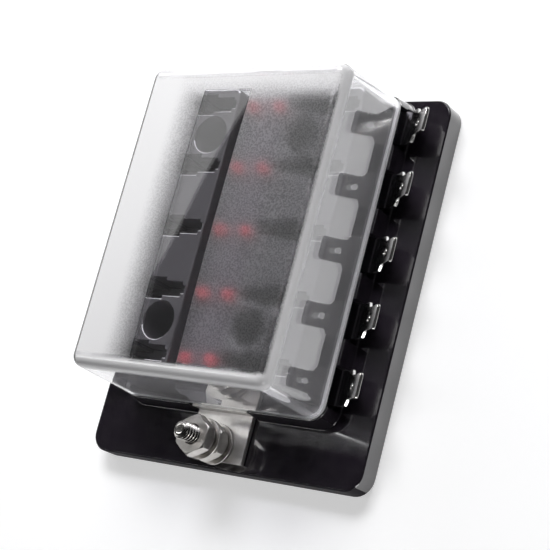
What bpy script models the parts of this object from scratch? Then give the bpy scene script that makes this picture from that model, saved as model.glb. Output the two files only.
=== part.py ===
"""Ten-way blade fuse block with lift-off cover, spade terminals and a stud input."""
import math

import bmesh
import bpy
from mathutils import Matrix, Vector

# Base plate and pedestal
BASE_THICKNESS = 0.0059
BASE_CORNER = 0.0050
EDGE_ROUND = 0.0004
FRONT_LEDGE = 0.0142
REAR_MARGIN = 0.0005
SIDE_LEDGE = 0.0105
PEDESTAL_HEIGHT = 0.0054
PEDESTAL_CORNER = 0.0048
PEDESTAL_DRAFT = 0.0006
CLEARANCE = 0.0003

# Fuse columns
ROWS = 5
ROW_PITCH = 0.01734
ROW_SHIFT = 0.0005
COLUMN_SIDE_WALL = 0.00085
COLUMN_TOP = 0.0248
END_WALL = 0.0018
COLUMN_CORNER = 0.0020
FUSE_LENGTH = 0.0203
FUSE_MIDDLE_LENGTH = 0.0064
FUSE_END_LENGTH = 0.0010
FUSE_MIDDLE_WIDTH = 0.0059
FUSE_SIDE_WIDTH = 0.0040
FUSE_END_WIDTH = 0.0022
POCKET_DEPTH = 0.0093
POCKET_FLOOR = 0.0007
BLADE_SPACING = 0.0125
CLIP_WIDTH = 0.0050
CLIP_SHEET = 0.0006
CLIP_GAP = 0.0008
BLADE_SLOT_WIDTH = 0.0012
HOLE_FROM_INNER = 0.0067
COUNTERBORE_DIAMETER = 0.0104
COUNTERBORE_FLOOR = 0.0105
SCREW_HOLE_DIAMETER = 0.0050

# Spade terminals
TERMINAL_SHEET = 0.0008
TERMINAL_RUN_Z = 0.0091
TAB_ANGLE = math.radians(30.0)
TAB_LENGTH = 0.0078
TAB_WIDTH = 0.0063
TAB_CHAMFER = 0.0009
TAB_HOLE_DIAMETER = 0.0018
TAB_HOLE_FROM_TIP = 0.0046
SHOULDER_WIDTH = 0.0082
SHOULDER_LENGTH = 0.0050
BAY_WIDTH = 0.0106
BAY_DEPTH = 0.0024

# Input bus, stud and hardware
BUS_SHEET = 0.0013
BUS_WIDTH = 0.0150
BUS_RUN_Z = 0.0093
INPUT_TAB_WIDTH = 0.0183
INPUT_TAB_TO_FRONT = 0.0020
STUD_DIAMETER = 0.0048
STUD_TOP = 0.0233
STUD_TO_FRONT = 0.0062
STUD_HEAD_DIAMETER = 0.0092
STUD_HEAD_HEIGHT = 0.0022
STUD_HOLE = 0.0056
NUT_FLATS = 0.0095
NUT_HEIGHT = 0.0031
WASHER_DIAMETER = 0.0108
WASHER_SHEET = 0.0006
LOCK_WASHER_DIAMETER = 0.0088
LOCK_WASHER_SHEET = 0.0008

# Cover
RIM_INSET = 0.00105
COVER_HEIGHT = 0.0243
COVER_DRAFT = 0.0013
COVER_WALL = 0.0020
COVER_TO_COLUMN = 0.00135
COVER_TO_COLUMN_END = 0.00177
COVER_CORNER = 0.0042
COVER_EDGE = 0.0028
COVER_CROWN = 0.0007
LIP_WIDTH = 0.0100
LIP_REACH = 0.0014
LIP_HEIGHT = 0.0016

# Indicator board
CHANNEL_DEPTH = 0.0046
BOARD_WIDTH = 0.0136
BOARD_MARGIN = 0.0011
BOARD_SHEET = 0.0012
LED_SPACING = 0.0086
LED_DIAMETER = 0.0030
LED_HEIGHT = 0.0024
RESISTOR_LENGTH = 0.0020
RESISTOR_WIDTH = 0.0011
RESISTOR_HEIGHT = 0.0006

# Derived places
COLUMN_INNER = BOARD_WIDTH / 2 + BOARD_MARGIN + CLEARANCE
COLUMN_WIDTH = FUSE_LENGTH + 2 * COLUMN_SIDE_WALL
COLUMN_OUTER = COLUMN_INNER + COLUMN_WIDTH
COLUMN_CENTRE_X = (COLUMN_INNER + COLUMN_OUTER) / 2
COLUMN_LENGTH = (ROWS - 1) * ROW_PITCH + FUSE_MIDDLE_WIDTH + 2 * END_WALL
HOLE_OFFSET_X = COLUMN_INNER + HOLE_FROM_INNER
PEDESTAL_WIDTH = 2 * (COLUMN_OUTER + COVER_TO_COLUMN + COVER_WALL + RIM_INSET)
PEDESTAL_LENGTH = COLUMN_LENGTH + 2 * (COVER_TO_COLUMN_END + COVER_WALL + RIM_INSET)
BASE_WIDTH = PEDESTAL_WIDTH + 2 * SIDE_LEDGE
BASE_LENGTH = FRONT_LEDGE + PEDESTAL_LENGTH + REAR_MARGIN
BASE_FRONT = -BASE_LENGTH / 2
PEDESTAL_Y = BASE_FRONT + FRONT_LEDGE + PEDESTAL_LENGTH / 2
PEDESTAL_TOP = BASE_THICKNESS + PEDESTAL_HEIGHT
PEDESTAL_FRONT = BASE_FRONT + FRONT_LEDGE
ROWS_Y = PEDESTAL_Y + ROW_SHIFT
ROW_Y = [ROWS_Y + (0.5 * (ROWS - 1) - row) * ROW_PITCH for row in range(ROWS)]
COLUMN_BOTTOM = BASE_THICKNESS + CLEARANCE
POCKET_BOTTOM = COLUMN_TOP - POCKET_DEPTH
WELL_TOP = POCKET_BOTTOM - POCKET_FLOOR
CLIP_TOP = WELL_TOP - CLEARANCE
INNER_CLIP_X = COLUMN_CENTRE_X - BLADE_SPACING / 2
OUTER_CLIP_X = COLUMN_CENTRE_X + BLADE_SPACING / 2
WELL_WIDTH = CLIP_GAP + 2 * CLIP_SHEET + 2 * CLEARANCE
HOLE_ROWS_Y = [(ROW_Y[0] + ROW_Y[1]) / 2, (ROW_Y[-2] + ROW_Y[-1]) / 2]
CAVITY_WIDTH = 2 * (COLUMN_OUTER + CLEARANCE)
CAVITY_LENGTH = COLUMN_LENGTH + 2 * CLEARANCE
RIM_WIDTH = PEDESTAL_WIDTH - 2 * RIM_INSET
RIM_LENGTH = PEDESTAL_LENGTH - 2 * RIM_INSET
RIM_Z = PEDESTAL_TOP + CLEARANCE
STUD_Y = BASE_FRONT + STUD_TO_FRONT
INPUT_TAB_BOTTOM = BASE_THICKNESS + CLEARANCE
INPUT_TAB_TOP = INPUT_TAB_BOTTOM + BUS_SHEET
BUS_TOP = BUS_RUN_Z + BUS_SHEET
BEND_X = PEDESTAL_WIDTH / 2 - PEDESTAL_DRAFT
NOTCH_WIDTH = INPUT_TAB_WIDTH + 4 * CLEARANCE
CARRIER_WIDTH = 2 * (COLUMN_INNER - CLEARANCE)
CARRIER_TOP = COLUMN_TOP - CHANNEL_DEPTH
CARRIER_BOTTOM = BUS_TOP + CLEARANCE
BOARD_BOTTOM = CARRIER_TOP + CLEARANCE
BOARD_TOP = BOARD_BOTTOM + BOARD_SHEET

OVERCUT = 0.001

for old in list(bpy.data.objects):
    bpy.data.objects.remove(old, do_unlink=True)

PARTS = bpy.data.collections.new("blade_fuse_block")
CUTTERS = bpy.data.collections.new("cutters")
bpy.context.scene.collection.children.link(PARTS)
bpy.context.scene.collection.children.link(CUTTERS)


def material(name, colour, roughness, metallic=0.0):
    """Principled material of one named colour."""
    made = bpy.data.materials.new(name)
    made.use_nodes = True
    shader = made.node_tree.nodes["Principled BSDF"]
    shader.inputs["Base Color"].default_value = (*colour, 1.0)
    shader.inputs["Roughness"].default_value = roughness
    shader.inputs["Metallic"].default_value = metallic
    return made


GLOSS_BLACK = (0.018, 0.014, 0.020)
MATTE_BLACK = (0.030, 0.028, 0.033)
CLEAR = (0.82, 0.82, 0.85)
TIN = (0.62, 0.60, 0.58)
NICKEL = (0.55, 0.52, 0.49)
LED_RED = (0.60, 0.02, 0.02)
BOARD_GREEN = (0.03, 0.05, 0.04)
CERAMIC = (0.05, 0.05, 0.05)


def link(obj, collection=None):
    """Put an object in the parts collection, or in another one."""
    (collection or PARTS).objects.link(obj)
    return obj


def mesh_object(name, mesh, collection=None):
    """New object that carries the mesh."""
    return link(bpy.data.objects.new(name, mesh), collection)


def from_bmesh(name, bm, collection=None):
    """Close a bmesh into a named object."""
    bmesh.ops.recalc_face_normals(bm, faces=bm.faces)
    mesh = bpy.data.meshes.new(name)
    bm.to_mesh(mesh)
    bm.free()
    return mesh_object(name, mesh, collection)


def box_bmesh(x_range, y_range, z_range, top_inset=0.0):
    """Box between limits; top_inset draws its top face in on all sides."""
    bm = bmesh.new()
    bmesh.ops.create_cube(bm, size=1.0)
    middle = Vector([(low + high) / 2 for low, high in (x_range, y_range, z_range)])
    size = Vector([high - low for low, high in (x_range, y_range, z_range)])
    for vert in bm.verts:
        inset = top_inset if vert.co.z > 0 else 0.0
        vert.co = Vector((
            middle.x + vert.co.x * (size.x - 2 * inset),
            middle.y + vert.co.y * (size.y - 2 * inset),
            middle.z + vert.co.z * size.z))
    return bm


def upright_edges(bm):
    """Edges that climb from the bottom to the top of a box."""
    return [e for e in bm.edges if abs(e.verts[0].co.z - e.verts[1].co.z) > 1e-6]


def round_corners(bm, radius, segments=6):
    """Round the upright corners of a box."""
    bmesh.ops.bevel(bm, geom=upright_edges(bm), offset=radius, segments=segments,
                    profile=0.5, affect='EDGES', clamp_overlap=True)


def top_edges(bm):
    """Edges around the highest face."""
    top = max(vert.co.z for vert in bm.verts)
    return [e for e in bm.edges if all(abs(v.co.z - top) < 1e-7 for v in e.verts)]


def round_top(bm, radius, segments=2):
    """Round the edge around the top face."""
    bmesh.ops.bevel(bm, geom=top_edges(bm), offset=radius, segments=segments,
                    profile=0.5, affect='EDGES', clamp_overlap=True)


def plain_box(name, x_range, y_range, z_range, collection=None):
    """Sharp box as an object."""
    return from_bmesh(name, box_bmesh(x_range, y_range, z_range), collection)


def cylinder(name, radius, z_range, x=0.0, y=0.0, segments=32, collection=None):
    """Upright cylinder between two heights."""
    bm = bmesh.new()
    depth = z_range[1] - z_range[0]
    place = Matrix.Translation((x, y, z_range[0] + depth / 2))
    bmesh.ops.create_cone(bm, cap_ends=True, segments=segments, radius1=radius,
                          radius2=radius, depth=depth, matrix=place)
    return from_bmesh(name, bm, collection)


def outline_prism(name, outline, place, z_range, collection=None):
    """Flat outline of points about an (x, y) place, raised between two heights."""
    curve = bpy.data.curves.new(name, 'CURVE')
    curve.dimensions = '2D'
    curve.fill_mode = 'BOTH'
    curve.extrude = (z_range[1] - z_range[0]) / 2
    spline = curve.splines.new('POLY')
    spline.points.add(len(outline) - 1)
    spline.use_cyclic_u = True
    for point, (x, y) in zip(spline.points, outline):
        point.co = (x, y, 0.0, 1.0)
    guide = link(bpy.data.objects.new(name, curve), collection)
    guide.location = (*place, (z_range[0] + z_range[1]) / 2)
    graph = bpy.context.evaluated_depsgraph_get()
    moved = guide.matrix_world.copy()
    bm = bmesh.new()
    bm.from_mesh(bpy.data.meshes.new_from_object(guide.evaluated_get(graph)))
    bmesh.ops.remove_doubles(bm, verts=bm.verts, dist=0.00001)
    for level in (-curve.extrude, curve.extrude):
        cap = [f for f in bm.faces if all(abs(v.co.z - level) < 1e-6 for v in f.verts)]
        bmesh.ops.dissolve_faces(bm, faces=cap)
    bpy.data.objects.remove(guide, do_unlink=True)
    prism = from_bmesh(name, bm, collection)
    prism.matrix_world = moved
    return prism


def turned(name, profile, segments=32, closed=False, collection=None):
    """Turn a profile of (radius, z) points about Z with a Screw modifier."""
    mesh = bpy.data.meshes.new(name)
    count = len(profile)
    edges = [(i, i + 1) for i in range(count - 1)]
    if closed:
        edges.append((count - 1, 0))
    mesh.from_pydata([(r, 0.0, z) for r, z in profile], edges, [])
    obj = mesh_object(name, mesh, collection)
    screw = obj.modifiers.new("turn", 'SCREW')
    screw.steps = segments
    screw.render_steps = segments
    screw.use_merge_vertices = True
    screw.merge_threshold = 0.00001
    return obj


def boolean(obj, cutter, operation):
    """Cut or join with another object, which becomes a hidden guide."""
    step = obj.modifiers.new(f"{operation.lower()} {cutter.name}", 'BOOLEAN')
    step.operation = operation
    step.solver = 'EXACT'
    step.object = cutter
    cutter.hide_render = True
    cutter.display_type = 'WIRE'


def cut(obj, *cutters):
    """Take each cutter out of the object."""
    for cutter in cutters:
        boolean(obj, cutter, 'DIFFERENCE')


def join(obj, *pieces):
    """Join each piece to the object."""
    for piece in pieces:
        boolean(obj, piece, 'UNION')


def bake(obj):
    """Freeze an object's modifiers into a mesh that copies can share."""
    graph = bpy.context.evaluated_depsgraph_get()
    mesh = bpy.data.meshes.new_from_object(obj.evaluated_get(graph))
    obj.modifiers.clear()
    obj.data = mesh
    return obj


def finish(obj, made, smooth_angle=30.0):
    """Give a part its material and smooth its round faces."""
    obj.data.materials.clear()
    obj.data.materials.append(made)
    obj.data.shade_smooth()
    obj.data.set_sharp_from_angle(angle=math.radians(smooth_angle))
    return obj


def copy_of(source, name, location=(0, 0, 0), half_turn=False):
    """Another object with the same mesh, moved or turned half round."""
    made = mesh_object(name, source.data)
    made.location = location
    made.rotation_euler = (0, 0, math.pi if half_turn else 0.0)
    return made


def span(centre, size):
    """Limits of a size about its centre."""
    return (centre - size / 2, centre + size / 2)


def build_base_plate():
    """Plate, drafted pedestal with its cavity, bays and slots, and the holes through it."""
    plate = box_bmesh(span(0, BASE_WIDTH), span(0, BASE_LENGTH), (0, BASE_THICKNESS))
    round_corners(plate, BASE_CORNER, 8)
    round_top(plate, EDGE_ROUND)
    base = from_bmesh("base_plate", plate)
    pedestal = box_bmesh(
        span(0, PEDESTAL_WIDTH), span(PEDESTAL_Y, PEDESTAL_LENGTH),
        (BASE_THICKNESS - EDGE_ROUND, PEDESTAL_TOP), PEDESTAL_DRAFT)
    round_corners(pedestal, PEDESTAL_CORNER, 6)
    join(base, from_bmesh("pedestal", pedestal, CUTTERS))
    cut(base, plain_box(
        "cavity", span(0, CAVITY_WIDTH), span(ROWS_Y, CAVITY_LENGTH),
        (BASE_THICKNESS, PEDESTAL_TOP + OVERCUT), CUTTERS))
    for side in (-1, 1):
        for row, y in enumerate(ROW_Y):
            bay_x = side * (PEDESTAL_WIDTH / 2 - PEDESTAL_DRAFT / 2)
            cut(base, plain_box(
                f"bay {side} {row}", span(bay_x, 2 * BAY_DEPTH), span(y, BAY_WIDTH),
                (BASE_THICKNESS + EDGE_ROUND, PEDESTAL_TOP + OVERCUT), CUTTERS))
            slot_limits = sorted((side * (COLUMN_OUTER - OVERCUT),
                                  side * (PEDESTAL_WIDTH / 2 + OVERCUT)))
            cut(base, plain_box(
                f"slot {side} {row}", slot_limits, span(y, SHOULDER_WIDTH + 2 * CLEARANCE),
                (TERMINAL_RUN_Z - CLEARANCE, PEDESTAL_TOP + OVERCUT), CUTTERS))
    cut(base, plain_box(
        "bus notch", span(0, NOTCH_WIDTH),
        (PEDESTAL_FRONT - OVERCUT, ROWS_Y - CAVITY_LENGTH / 2 + OVERCUT),
        (BASE_THICKNESS, PEDESTAL_TOP + OVERCUT), CUTTERS))
    for side in (-1, 1):
        for number, y in enumerate(HOLE_ROWS_Y):
            cut(base, cylinder(
                f"screw hole {side} {number}", SCREW_HOLE_DIAMETER / 2,
                (-OVERCUT, BASE_THICKNESS + OVERCUT), side * HOLE_OFFSET_X, y, 24, CUTTERS))
    cut(base, cylinder("stud hole", STUD_HOLE / 2, (-OVERCUT, BASE_THICKNESS + OVERCUT),
                       0, STUD_Y, 32, CUTTERS))
    cut(base, cylinder(
        "stud head pocket", STUD_HEAD_DIAMETER / 2 + CLEARANCE,
        (-OVERCUT, STUD_HEAD_HEIGHT + 3 * CLEARANCE), 0, STUD_Y, 32, CUTTERS))
    return finish(base, material("gloss black plastic", GLOSS_BLACK, 0.18))


def pocket_outline():
    """Stepped outline of a blade fuse seen from above, about its middle."""
    ends = FUSE_LENGTH / 2
    sides = ends - FUSE_END_LENGTH
    middle = FUSE_MIDDLE_LENGTH / 2
    quarter = [
        (ends, FUSE_END_WIDTH / 2), (sides, FUSE_END_WIDTH / 2),
        (sides, FUSE_SIDE_WIDTH / 2), (middle, FUSE_SIDE_WIDTH / 2),
        (middle, FUSE_MIDDLE_WIDTH / 2)]
    right_top = quarter
    left_top = [(-x, y) for x, y in reversed(quarter)]
    left_bottom = [(-x, -y) for x, y in quarter]
    right_bottom = [(x, -y) for x, y in reversed(quarter)]
    return right_top + left_top + left_bottom + right_bottom


def build_fuse_columns():
    """Two like carriers: pockets with blade slots, clip wells below and counterbored holes."""
    side = -1
    name = "fuse_block_left"
    centre = side * COLUMN_CENTRE_X
    body = box_bmesh(span(centre, COLUMN_WIDTH), span(ROWS_Y, COLUMN_LENGTH),
                     (COLUMN_BOTTOM, COLUMN_TOP))
    round_corners(body, COLUMN_CORNER, 4)
    round_top(body, EDGE_ROUND, 1)
    column = from_bmesh(name, body)
    inner_clip = side * INNER_CLIP_X
    outer_clip = side * OUTER_CLIP_X
    slot_length = CLIP_WIDTH + 2 * CLEARANCE
    for row, y in enumerate(ROW_Y):
        cut(column, outline_prism(f"{name} pocket {row}", pocket_outline(), (centre, y),
                                  (POCKET_BOTTOM, COLUMN_TOP + OVERCUT), CUTTERS))
        for place, x in (("inner", inner_clip), ("outer", outer_clip)):
            cut(column, plain_box(
                f"{name} {place} slot {row}", span(x, slot_length), span(y, BLADE_SLOT_WIDTH),
                (WELL_TOP - OVERCUT / 2, POCKET_BOTTOM + OVERCUT), CUTTERS))
            cut(column, plain_box(
                f"{name} {place} well {row}", span(x, slot_length), span(y, WELL_WIDTH),
                (COLUMN_BOTTOM - OVERCUT, WELL_TOP), CUTTERS))
        run_from = OUTER_CLIP_X - slot_length / 2
        run_limits = sorted((side * run_from, side * (COLUMN_OUTER + OVERCUT)))
        cut(column, plain_box(
            f"{name} terminal run {row}", run_limits,
            span(y, SHOULDER_WIDTH + 2 * CLEARANCE),
            (COLUMN_BOTTOM - OVERCUT, TERMINAL_RUN_Z + TERMINAL_SHEET + CLEARANCE), CUTTERS))
        finger_to = INNER_CLIP_X + slot_length / 2
        finger_limits = sorted((side * (COLUMN_INNER - OVERCUT), side * finger_to))
        cut(column, plain_box(
            f"{name} bus finger {row}", finger_limits, span(y, CLIP_WIDTH + 2 * CLEARANCE),
            (COLUMN_BOTTOM - OVERCUT, BUS_TOP + CLEARANCE), CUTTERS))
    for number, y in enumerate(HOLE_ROWS_Y):
        cut(column, cylinder(
            f"{name} counterbore {number}", COUNTERBORE_DIAMETER / 2,
            (COUNTERBORE_FLOOR, COLUMN_TOP + OVERCUT), side * HOLE_OFFSET_X, y, 40, CUTTERS))
        cut(column, cylinder(
            f"{name} screw hole {number}", SCREW_HOLE_DIAMETER / 2,
            (COLUMN_BOTTOM - OVERCUT, COLUMN_TOP), side * HOLE_OFFSET_X, y, 24, CUTTERS))
    bake(column)
    finish(column, material("matte black plastic", MATTE_BLACK, 0.6))
    copy_of(column, "fuse_block_right", (0, 2 * ROWS_Y, 0), half_turn=True)


def build_led_board():
    """Spine moulding between the columns, the board on it, and lamps with resistors."""
    carrier = plain_box("led_carrier", span(0, CARRIER_WIDTH), span(ROWS_Y, COLUMN_LENGTH),
                        (CARRIER_BOTTOM, CARRIER_TOP))
    finish(carrier, material("led carrier plastic", MATTE_BLACK, 0.6))
    board = plain_box("led_board", span(0, BOARD_WIDTH),
                      span(ROWS_Y, COLUMN_LENGTH - 2 * END_WALL), (BOARD_BOTTOM, BOARD_TOP))
    finish(board, material("board laminate", BOARD_GREEN, 0.5))
    lens = material("red lamp lens", LED_RED, 0.2)
    chip = material("resistor ceramic", CERAMIC, 0.5)
    radius = LED_DIAMETER / 2
    foot = BOARD_TOP + CLEARANCE
    dome = [(radius * math.sin(turn), foot + LED_HEIGHT - radius + radius * math.cos(turn))
            for turn in [math.pi / 2 * step / 4 for step in range(5)]]
    for side, letter in ((-1, "L"), (1, "R")):
        for row, y in enumerate(ROW_Y):
            lamp = turned(f"led_{letter}{row + 1}", dome + [(radius, foot), (0.0, foot)], 12)
            lamp.location = (side * LED_SPACING / 2, y, 0)
            finish(lamp, lens)
            chip_y = y - LED_DIAMETER
            finish(plain_box(
                f"resistor_{letter}{row + 1}", span(side * LED_SPACING / 2, RESISTOR_LENGTH),
                span(chip_y, RESISTOR_WIDTH), (foot, foot + RESISTOR_HEIGHT)), chip)


def clip_leaves(name, x, y, bottom):
    """Two spring leaves that grip a fuse blade between them."""
    offset = (CLIP_GAP + CLIP_SHEET) / 2
    return [plain_box(f"{name} leaf {side}", span(x, CLIP_WIDTH), span(y + side * offset, CLIP_SHEET),
                      (bottom, CLIP_TOP), CUTTERS) for side in (-1, 1)]


def tab_outline():
    """Half stations of the sheet from its inner end to the tip: (path length, half width)."""
    run = BEND_X - (OUTER_CLIP_X - CLIP_WIDTH / 2)
    shoulder = run + SHOULDER_LENGTH
    tip = shoulder + TAB_LENGTH
    return run, [
        (0.0, CLIP_WIDTH / 2), (CLIP_WIDTH, CLIP_WIDTH / 2), (CLIP_WIDTH, SHOULDER_WIDTH / 2),
        (shoulder, SHOULDER_WIDTH / 2), (shoulder, TAB_WIDTH / 2),
        (tip - TAB_CHAMFER, TAB_WIDTH / 2), (tip, TAB_WIDTH / 2 - TAB_CHAMFER)]


def on_path(length, run):
    """Point of the bent sheet's lower face at a length along it."""
    start = OUTER_CLIP_X - CLIP_WIDTH / 2
    if length <= run:
        return start + length, TERMINAL_RUN_Z
    beyond = length - run
    return (start + run + beyond * math.cos(TAB_ANGLE),
            TERMINAL_RUN_Z + beyond * math.sin(TAB_ANGLE))


def build_terminals():
    """Bent spade tabs with their outer fuse clips, five on each long side."""
    run, stations = tab_outline()
    bm = bmesh.new()
    outline = [(length, width) for length, width in stations]
    outline += [(length, -width) for length, width in reversed(stations)]
    face = bm.faces.new([bm.verts.new((length, width, 0.0)) for length, width in outline])
    bmesh.ops.bisect_plane(bm, geom=[face] + list(bm.edges) + list(bm.verts),
                           plane_co=(run, 0, 0), plane_no=(1, 0, 0))
    for vert in bm.verts:
        x, z = on_path(vert.co.x, run)
        vert.co = Vector((x, vert.co.y, z))
    sheet = from_bmesh("terminal_R1", bm)
    if sheet.data.polygons[0].normal.z < 0:
        sheet.data.flip_normals()
    solid = sheet.modifiers.new("sheet", 'SOLIDIFY')
    solid.thickness = TERMINAL_SHEET
    solid.offset = 1.0
    solid.use_even_offset = True
    hole_at = stations[-1][0] - TAB_HOLE_FROM_TIP
    hole_x, hole_z = on_path(hole_at, run)
    drill = cylinder("tab hole", TAB_HOLE_DIAMETER / 2, (-0.003, 0.003), segments=16,
                     collection=CUTTERS)
    drill.location = (hole_x, 0, hole_z)
    drill.rotation_euler = (0, -TAB_ANGLE, 0)
    bpy.context.view_layer.update()
    cut(sheet, drill)
    join(sheet, *clip_leaves("terminal", OUTER_CLIP_X, 0.0, TERMINAL_RUN_Z + TERMINAL_SHEET / 2))
    bake(sheet)
    finish(sheet, material("tinned terminal", TIN, 0.22, 1.0))
    sheet.location = (0, ROW_Y[0], 0)
    for row, y in enumerate(ROW_Y):
        if row:
            copy_of(sheet, f"terminal_R{row + 1}", (0, y, 0))
        copy_of(sheet, f"terminal_L{row + 1}", (0, y, 0), half_turn=True)


def build_bus_bar():
    """Input tab on the ledge, upturned leg, inner run with a finger and clip for each fuse."""
    leg_front = PEDESTAL_FRONT + PEDESTAL_DRAFT
    leg_back = leg_front + BUS_SHEET
    tab_front = BASE_FRONT + INPUT_TAB_TO_FRONT
    bus = plain_box("bus_bar", span(0, INPUT_TAB_WIDTH), (tab_front, leg_back),
                    (INPUT_TAB_BOTTOM, INPUT_TAB_TOP))
    run_back = ROW_Y[0] + CLIP_WIDTH / 2
    pieces = [
        plain_box("bus leg", span(0, INPUT_TAB_WIDTH), (leg_front, leg_back),
                  (INPUT_TAB_BOTTOM + BUS_SHEET / 2, BUS_TOP), CUTTERS),
        plain_box("bus run", span(0, BUS_WIDTH), (leg_front + BUS_SHEET / 2, run_back),
                  (BUS_RUN_Z, BUS_TOP), CUTTERS)]
    for row, y in enumerate(ROW_Y):
        reach = 2 * (INNER_CLIP_X + CLIP_WIDTH / 2)
        pieces.append(plain_box(f"bus finger {row}", span(0, reach), span(y, CLIP_WIDTH),
                                (BUS_RUN_Z, BUS_TOP), CUTTERS))
        for side in (-1, 1):
            pieces += clip_leaves(f"bus {row} {side}", side * INNER_CLIP_X, y,
                                  BUS_TOP - BUS_SHEET / 2)
    join(bus, *pieces)
    cut(bus, cylinder("bus hole", STUD_HOLE / 2,
                      (INPUT_TAB_BOTTOM - OVERCUT, INPUT_TAB_TOP + OVERCUT), 0, STUD_Y, 32, CUTTERS))
    finish(bus, material("nickel plated bus", NICKEL, 0.28, 1.0))


def ring_profile(inner, outer, bottom, top):
    """Closed section of a flat ring, outer side running down."""
    return [(inner, top), (outer, top), (outer, bottom), (inner, bottom)]


def build_nut(name, bottom, made, turn):
    """Hexagon nut with chamfered corners and a clear bore."""
    corner = NUT_FLATS / math.sqrt(3.0)
    chamfer = corner - NUT_FLATS / 2
    nut = cylinder(name, corner, (0, NUT_HEIGHT), segments=6)
    nut.location = (0, STUD_Y, bottom)
    nut.rotation_euler = (0, 0, turn)
    drop = chamfer * math.tan(math.radians(30.0))
    envelope = turned(f"{name} chamfer", [
        (0.0, NUT_HEIGHT), (NUT_FLATS / 2, NUT_HEIGHT), (corner * 1.02, NUT_HEIGHT - drop * 1.1),
        (corner * 1.02, drop * 1.1), (NUT_FLATS / 2, 0.0), (0.0, 0.0)], 36, collection=CUTTERS)
    envelope.location = (0, STUD_Y, bottom)
    bore = cylinder(f"{name} bore", STUD_DIAMETER / 2 + CLEARANCE, (-OVERCUT, NUT_HEIGHT + OVERCUT),
                    segments=24, collection=CUTTERS)
    bore.location = (0, STUD_Y, bottom)
    boolean(nut, envelope, 'INTERSECT')
    cut(nut, bore)
    finish(nut, made)


def build_stud_hardware():
    """Stud with its head in the base, and the washers and nuts stacked on the input tab."""
    steel = material("bright steel", NICKEL, 0.2, 1.0)
    radius = STUD_DIAMETER / 2
    chamfer = STUD_DIAMETER / 6
    head_top = STUD_HEAD_HEIGHT + CLEARANCE
    stud = turned("input_stud", [
        (0.0, STUD_TOP), (radius - chamfer, STUD_TOP), (radius, STUD_TOP - chamfer),
        (radius, head_top), (STUD_HEAD_DIAMETER / 2, head_top),
        (STUD_HEAD_DIAMETER / 2, CLEARANCE), (0.0, CLEARANCE)], 32)
    stud.location = (0, STUD_Y, 0)
    finish(stud, steel)
    bore = radius + CLEARANCE
    level = INPUT_TAB_TOP + CLEARANCE
    stack = [("lower", "jam_nut", 0.0), ("upper", "top_nut", math.radians(-3.0))]
    for place, nut_name, turn in stack:
        washer = turned(f"{place}_washer", ring_profile(
            bore, WASHER_DIAMETER / 2, level, level + WASHER_SHEET), 40, closed=True)
        washer.location = (0, STUD_Y, 0)
        finish(washer, steel)
        level += WASHER_SHEET + CLEARANCE
        lock = turned(f"{place}_lock_washer", ring_profile(
            bore, LOCK_WASHER_DIAMETER / 2, level, level + LOCK_WASHER_SHEET), 40, closed=True)
        lock.location = (0, STUD_Y, 0)
        finish(lock, steel)
        level += LOCK_WASHER_SHEET + CLEARANCE
        build_nut(nut_name, level, steel, turn)
        level += NUT_HEIGHT + CLEARANCE


def crown_top(bm, rings):
    """Raise the top face to a shallow crown by a few shrinking rings."""
    top = max(vert.co.z for vert in bm.verts)
    face = max(bm.faces, key=lambda f: min(v.co.z for v in f.verts))
    half_x = max(vert.co.x for vert in face.verts)
    half_y = max(vert.co.y for vert in face.verts) - PEDESTAL_Y
    start = [vert.co.copy() for vert in face.verts]
    for ring in range(1, rings + 1):
        inward = 0.85 * half_x * ring / rings
        bmesh.ops.inset_individual(bm, faces=[face], thickness=COVER_EDGE / 20, depth=0.0)
        gone = 1.0 - inward / half_x
        for vert, corner in zip(face.verts, start):
            vert.co.x = corner.x * (1.0 - inward / half_x)
            vert.co.y = PEDESTAL_Y + (corner.y - PEDESTAL_Y) * (1.0 - inward / half_y)
            vert.co.z = top + COVER_CROWN * (1.0 - gone * gone)


def build_cover():
    """Drafted clear shell with a crowned top and a thumb lip at each short end."""
    top_z = RIM_Z + COVER_HEIGHT
    shell = box_bmesh(span(0, RIM_WIDTH), span(PEDESTAL_Y, RIM_LENGTH), (RIM_Z, top_z), COVER_DRAFT)
    round_corners(shell, COVER_CORNER, 6)
    round_top(shell, COVER_EDGE, 5)
    crown_top(shell, 4)
    floor = [f for f in shell.faces if all(abs(v.co.z - RIM_Z) < 1e-7 for v in f.verts)]
    if shell.calc_volume(signed=True) < 0:
        bmesh.ops.reverse_faces(shell, faces=shell.faces)
    bmesh.ops.delete(shell, geom=floor, context='FACES_ONLY')
    mesh = bpy.data.meshes.new("cover")
    shell.to_mesh(mesh)
    shell.free()
    cover = mesh_object("cover", mesh)
    wall = cover.modifiers.new("wall", 'SOLIDIFY')
    wall.thickness = COVER_WALL
    wall.offset = -1.0
    wall.use_even_offset = True
    for side, name in ((-1, "front lip"), (1, "rear lip")):
        outer = PEDESTAL_Y + side * RIM_LENGTH / 2
        limits = sorted((outer + side * LIP_REACH, outer - side * COVER_WALL / 2))
        join(cover, plain_box(name, span(0, LIP_WIDTH), limits,
                              (RIM_Z + CLEARANCE, RIM_Z + CLEARANCE + LIP_HEIGHT), CUTTERS))
    finish(cover, material("clear polycarbonate", CLEAR, 0.08))


build_base_plate()
build_fuse_columns()
build_led_board()
build_terminals()
build_bus_bar()
build_stud_hardware()
build_cover()
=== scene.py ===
"""Looks of the blade fuse block: finishes, clear cover, threaded stud, camera and light."""
import functools
import math

import bmesh
import bpy
import numpy
from mathutils import Matrix, Vector


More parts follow.
